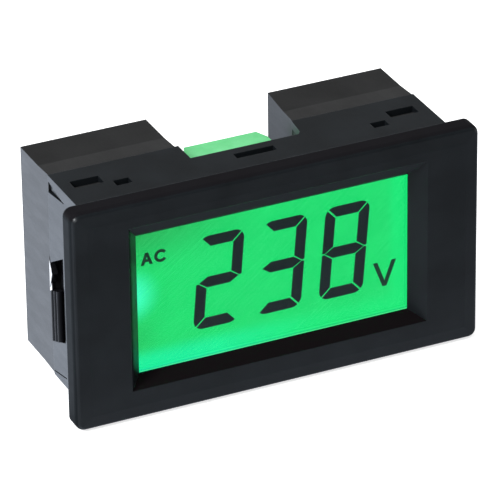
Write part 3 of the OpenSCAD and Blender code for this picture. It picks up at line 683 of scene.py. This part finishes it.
def rounded_outline():
    """A figure's outline with round corners, anticlockwise."""
    w, h = FIGURE
    corners = [(w - CORNER_R, CORNER_R), (w - CORNER_R, h - CORNER_R),
               (CORNER_R, h - CORNER_R), (CORNER_R, CORNER_R)]
    points = []
    for quarter, (x, z) in enumerate(corners):
        for step in range(ARC_STEPS + 1):
            angle = (quarter - 1 + step / ARC_STEPS) * TURN / 4
            points.append((x + CORNER_R * math.cos(angle), z + CORNER_R * math.sin(angle)))
    return points


def clipped(shape, outline):
    """The part of a shape inside a convex outline that runs anticlockwise."""
    for a, b in zip(outline, outline[1:] + outline[:1]):
        kept = []
        for p, q in zip(shape, shape[1:] + shape[:1]):
            here, there = ((b[0] - a[0]) * (r[1] - a[1]) - (b[1] - a[1]) * (r[0] - a[0])
                           for r in (p, q))
            if here >= 0:
                kept.append(p)
            if here * there < 0:
                t = here / (here - there)
                kept.append((p[0] + t * (q[0] - p[0]), p[1] + t * (q[1] - p[1])))
        shape = kept
    return shape


def moved(shape, x, z, lean=0.0):
    return [(x + px + pz * lean, z + pz) for px, pz in shape]


def thin_plates(name, shapes, front, back, material, node):
    """Flat plates from front to back metres in Y, which stand for a node of the cell's print."""
    points = []
    faces = []
    for shape in shapes:
        n = len(shape)
        first = len(points)
        points += [(x * MM, y, z * MM) for y in (front, back) for x, z in shape]
        faces.append([first + i for i in range(n)])
        faces.append([first + n + i for i in reversed(range(n))])
        faces += [[first + i, first + n + i, first + n + (i + 1) % n, first + (i + 1) % n]
                  for i in range(n)]
    mesh = bpy.data.meshes.new(name)
    mesh.from_pydata(points, [], faces)
    sides = bmesh.new()
    sides.from_mesh(mesh)
    bmesh.ops.recalc_face_normals(sides, faces=sides.faces)
    sides.to_mesh(mesh)
    sides.free()
    mesh.materials.append(material)
    piece = bpy.data.objects.new(name, mesh)
    bpy.context.scene.collection.objects.link(piece)
    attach(piece, "housing")
    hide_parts(node)


def make_figures(ink):
    """The reading, bolder and rounder than its node."""
    low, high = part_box("digit_segments")
    outline = rounded_outline()
    width, height = FIGURE
    right = high.x / MM + FIGURES_PAST_NODE - height * FIGURE_LEAN - width
    foot = (low.z + high.z) / 2 / MM - height / 2
    shapes = []
    for i, value in enumerate(READING):
        left = right - (len(READING) - 1 - i) * FIGURE_PITCH
        for name, shape in segment_outlines().items():
            if name in LIT[value]:
                shapes.append(moved(clipped(shape, outline), left, foot, FIGURE_LEAN))
    thin_plates("figure_segments", shapes, low.y, high.y, ink, "digit_segments")


def chevron_parts(t):
    """Width of a V's arms at their ends, height of its inner corner and half width of its point."""
    return 1.1 * t, 1.4 * t, 0.5 * t


def chevron(w, h, t):
    """A letter V w wide and h high of stroke t, or an A without its bar when turned over."""
    arm, corner, point = chevron_parts(t)
    return [(0, h), (arm, h), (w / 2, corner), (w - arm, h), (w, h), (w / 2 + point, 0),
            (w / 2 - point, 0)]


def letter_a(w, h, t):
    """A turned chevron and its bar."""
    arm, corner, _ = chevron_parts(t)
    legs = [(x, h - z) for x, z in chevron(w, h, t)]
    low = 0.24 * h
    high = low + 0.9 * t
    at_low, at_high = (arm + (w / 2 - arm) * z / (h - corner) for z in (low, high))
    return [legs, [(at_low, low), (w - at_low, low), (w - at_high, high), (at_high, high)]]


def letter_c(h, t):
    """Open ring h high of stroke t."""
    reach = TURN - 2 * C_MOUTH
    angles = [C_MOUTH + reach * i / C_STEPS for i in range(C_STEPS + 1)]
    outer = h / 2
    inner = outer - t
    ring = [(outer + outer * math.cos(a), outer + outer * math.sin(a)) for a in angles]
    return ring + [(outer + inner * math.cos(a), outer + inner * math.sin(a))
                   for a in reversed(angles)]


def make_marks(ink):
    """The unit marks, bolder than their node."""
    low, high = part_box("unit_marks")
    left, top = low.x / MM, high.z / MM
    right, foot = high.x / MM, low.z / MM
    shapes = [moved(shape, left + A_AT[0], top + A_AT[1]) for shape in letter_a(*A_SIZE, AC_STROKE)]
    shapes.append(moved(letter_c(C_HEIGHT, AC_STROKE), left + C_AT[0], top + C_AT[1]))
    shapes.append(moved(chevron(*V_SIZE, V_STROKE), right - V_SIZE[0], foot))
    thin_plates("unit_marks_bold", shapes, low.y, high.y, ink, "unit_marks")


# ---- Studio ----

CASE_BACK = 28.1                    # y of the case's back edge, mm
CASE_RISE = 1.85                    # its lower edge's height there above the bezel's foot, mm
REST_TILT = math.atan2(CASE_RISE, CASE_BACK)    # the floor touches both
FLOOR_HALF = 4.0                    # half the floor's side, m
FLOOR_GAP = 0.01 * MM               # between the floor and the foot

CAMERA_LENS = 338.018               # mm, on a sensor 36 mm wide
CAMERA_SHIFT = (-0.0005, 0.0053)
CAMERA_AT = (-0.308414, -0.662236, 0.397513)
CAMERA_RIGHT = (0.90593, -0.42327, -0.01146)    # the picture's right and up, in the part's frame
CAMERA_UP = (0.21011, 0.42587, 0.88005)


def seen_directly(path):
    """The rays of a Light Path node that show a surface to the camera."""
    return path["Is Camera Ray"], path["Is Transmission Ray"]


def floor_material():
    """White to the camera, with the object's shadow. Reflections see it bright at the left, and
    fading to the front."""
    s = Shader("studio_floor")
    path = s.add("ShaderNodeLightPath").outputs
    shown = s.math("MAXIMUM", *seen_directly(path))
    plain = s.add("ShaderNodeBsdfDiffuse", {"Color": (0.80, 0.80, 0.80)}).outputs[0]
    fill = s.add("ShaderNodeEmission", {"Color": (1.0, 1.0, 1.0), "Strength": s.product(shown, 0.70)})
    seen = s.add("ShaderNodeAddShader", {0: plain, 1: fill.outputs[0]}).outputs[0]
    left = s.math("SUBTRACT", s.product(s.axis(0), -1.0), s.product(s.axis(1), 0.1))
    lit = s.product(s.fade(left, -20, 35), s.fade(s.axis(1), -6, 10))
    near = s.ramp(s.axis(1), -42 * MM, -6 * MM, 0.20, 0.37)
    level = s.math("ADD", s.product(lit, 1.35), near)
    mirrored = s.add("ShaderNodeEmission", {"Color": (0.86, 0.95, 1.10), "Strength": level})
    material = s.finish(s.blend(path["Is Glossy Ray"], seen, mirrored.outputs[0]))
    material.cycles.emission_sampling = "NONE"
    return material


def make_floor():
    """Large floor through the bezel's foot, tilted as the meter rests on it."""
    mesh = bpy.data.meshes.new("floor")
    corners = [(x * FLOOR_HALF, y * FLOOR_HALF, 0) for x, y in ((-1, -1), (1, -1), (1, 1), (-1, 1))]
    mesh.from_pydata(corners, [], [(0, 1, 2, 3)])
    floor = bpy.data.objects.new("floor", mesh)
    bpy.context.scene.collection.objects.link(floor)
    foot = Vector((0.0, 0.0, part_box("front_frame")[0].z - FLOOR_GAP))
    floor.matrix_world = Matrix.Translation(foot) @ Matrix.Rotation(REST_TILT, 4, "X")
    mesh.materials.append(floor_material())


def make_world():
    """White to the camera. Reflections see a white sweep low down that fades into a dark studio
    overhead and to the front, and the rest of the light is an even white."""
    s = Shader("studio", world=True)
    path = s.add("ShaderNodeLightPath").outputs
    mirrored = path["Is Glossy Ray"]
    sweep = s.product(s.ramp(s.axis(2), 0.10, 0.39, 0.8, 0.06), s.ramp(s.axis(1), -0.4, 0.1, 0.15, 1.0))
    soft = s.product(s.math("SUBTRACT", 1.0, mirrored), 0.55)
    level = s.math("ADD", soft, s.product(mirrored, sweep))
    level = s.math("MAXIMUM", level, s.math("MAXIMUM", *seen_directly(path)))
    background = s.add("ShaderNodeBackground", {"Color": (1.0, 1.0, 1.0), "Strength": level})
    world = s.finish(background.outputs[0])
    world.cycles.sampling_method = "NONE"
    bpy.context.scene.world = world


def area_light(name, at, size, energy, colour, mirrored=True):
    """Round lamp that shines at the part's origin."""
    light = bpy.data.lights.new(name, "AREA")
    light.shape = "DISK"
    light.size = size
    light.energy = energy
    light.color = colour
    lamp = bpy.data.objects.new(name, light)
    lamp.location = at
    lamp.rotation_euler = (Vector(at) * -1).to_track_quat("-Z", "Y").to_euler()
    lamp.visible_glossy = mirrored
    bpy.context.scene.collection.objects.link(lamp)


def make_lights():
    area_light("key_left", at=(-0.58, -0.23, 0.49), size=0.22, energy=4.0, colour=(0.95, 0.98, 1.0))
    area_light("fill_top", at=(-0.25, 0.25, 0.70), size=0.6, energy=4.0, colour=(1.0, 1.0, 1.0),
               mirrored=False)


def make_camera():
    camera = bpy.data.cameras.new("photo_view")
    camera.sensor_width = 36.0
    camera.lens = CAMERA_LENS
    camera.shift_x, camera.shift_y = CAMERA_SHIFT
    camera.clip_start = 0.05
    camera.clip_end = 20.0
    view = bpy.data.objects.new("photo_view", camera)
    right = Vector(CAMERA_RIGHT)
    back = right.cross(Vector(CAMERA_UP)).normalized()
    up = back.cross(right).normalized()
    turn = Matrix((right.normalized(), up, back)).transposed().to_4x4()
    view.matrix_world = Matrix.Translation(CAMERA_AT) @ turn
    bpy.context.scene.collection.objects.link(view)
    bpy.context.scene.camera = view


def make_studio():
    make_floor()
    make_world()
    make_lights()
    make_camera()
    bpy.context.scene.view_settings.view_transform = "Standard"
    bpy.context.scene.cycles.transparent_max_bounces = 16


materials = make_materials()
dress_nodes(materials)
make_figures(materials["digit_segments"])
make_marks(materials["unit_marks"])
make_studio()
